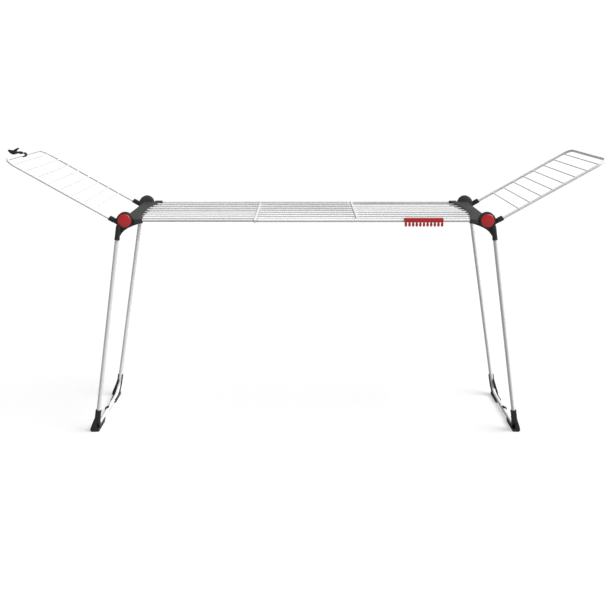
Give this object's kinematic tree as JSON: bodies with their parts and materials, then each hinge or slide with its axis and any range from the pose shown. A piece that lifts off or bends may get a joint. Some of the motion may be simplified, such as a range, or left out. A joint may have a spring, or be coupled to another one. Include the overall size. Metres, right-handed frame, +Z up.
{
  "type": "clothes drying rack",
  "caption": "Extendable clothes drying rack with a telescoping rod deck, two folding wire wings, folding splayed leg frames, a latch hook and a red comb for small items.",
  "frame": {"origin": "on the floor, under the middle of the whole box", "axes": "+X along the deck towards the end with the comb, +Y to the back, +Z up"},
  "size_m": [2.5572, 0.5642, 1.2393],
  "materials": {
    "white_powder_coat": "satin powder coat",
    "grey_powder_coat": "satin powder coat",
    "panel_plastic": "fine moulded grain",
    "black_plastic": "fine moulded grain",
    "red_plastic": "glossy",
    "ivory_plastic": "smooth",
    "pin_steel": "turned"
  },
  "bodies": {
    "left_deck": {"left_head": "panel_plastic", "left_rear_outer_rail": "white_powder_coat", "left_front_inner_rail": "grey_powder_coat", "left_rear_outer_tube_1": "white_powder_coat", "left_rear_outer_tube_2": "white_powder_coat", "left_rear_outer_tube_3": "white_powder_coat", "left_rear_outer_tube_4": "white_powder_coat", "left_front_inner_rod_1": "grey_powder_coat", "left_front_inner_rod_2": "grey_powder_coat", "left_front_inner_rod_3": "grey_powder_coat", "left_front_inner_rod_4": "grey_powder_coat", "left_guide_bar": "ivory_plastic", "left_front_hinge_pin": "pin_steel", "left_rear_hinge_pin": "pin_steel"},
    "right_deck": {"right_head": "panel_plastic", "right_front_outer_rail": "white_powder_coat", "right_rear_inner_rail": "grey_powder_coat", "right_front_outer_tube_1": "white_powder_coat", "right_front_outer_tube_2": "white_powder_coat", "right_front_outer_tube_3": "white_powder_coat", "right_front_outer_tube_4": "white_powder_coat", "right_rear_inner_rod_1": "grey_powder_coat", "right_rear_inner_rod_2": "grey_powder_coat", "right_rear_inner_rod_3": "grey_powder_coat", "right_rear_inner_rod_4": "grey_powder_coat", "right_guide_bar": "ivory_plastic", "right_front_hinge_pin": "pin_steel", "right_rear_hinge_pin": "pin_steel"},
    "left_wing": {"left_wing_grid": "white_powder_coat", "left_front_wing_arm": "black_plastic", "left_rear_wing_arm": "black_plastic"},
    "left_leg": {"left_leg_frame": "white_powder_coat", "left_front_leg_bracket": "black_plastic", "left_rear_leg_bracket": "black_plastic", "left_front_hub_cap": "red_plastic", "left_rear_hub_cap": "black_plastic", "left_front_shoe": "black_plastic", "left_rear_shoe": "black_plastic", "left_floor_bar_clip": "black_plastic"},
    "right_wing": {"right_wing_grid": "white_powder_coat", "right_front_wing_arm": "black_plastic", "right_rear_wing_arm": "black_plastic"},
    "right_leg": {"right_leg_frame": "white_powder_coat", "right_front_leg_bracket": "black_plastic", "right_rear_leg_bracket": "black_plastic", "right_front_hub_cap": "red_plastic", "right_rear_hub_cap": "black_plastic", "right_front_shoe": "black_plastic", "right_rear_shoe": "black_plastic", "right_floor_bar_clip": "black_plastic"},
    "latch": {"wing_latch": "black_plastic"},
    "comb": {"small_items_comb": "red_plastic"}
  },
  "joints": [
    {"name": "deck_slide", "type": "slide", "parent": "left_deck", "child": "right_deck", "axis": [1, 0, 0], "range_m": [-0.34, 0]},
    {"name": "left_leg_fold", "type": "hinge", "parent": "left_deck", "child": "left_leg", "pos_m": [-0.7252, 0, 0.96], "axis": [0, -1, 0], "range_deg": [0, 97]},
    {"name": "right_leg_fold", "type": "hinge", "parent": "right_deck", "child": "right_leg", "pos_m": [0.79, 0, 0.96], "axis": [0, 1, 0], "range_deg": [0, 88]},
    {"name": "left_wing_fold", "type": "hinge", "parent": "left_deck", "child": "left_wing", "pos_m": [-0.7252, 0, 0.96], "axis": [0, 1, 0], "range_deg": [0, 150]},
    {"name": "right_wing_fold", "type": "hinge", "parent": "right_deck", "child": "right_wing", "pos_m": [0.79, 0, 0.96], "axis": [0, -1, 0], "range_deg": [0, 150]},
    {"name": "latch_swivel", "type": "hinge", "parent": "left_wing", "child": "latch", "pos_m": [-1.2085, 0, 1.2088], "axis": [0, 1, 0], "range_deg": [-40, 30]},
    {"name": "comb_slide", "type": "slide", "parent": "right_deck", "child": "comb", "axis": [1, 0, 0], "range_m": [-0.6, 0.09]}
  ]
}
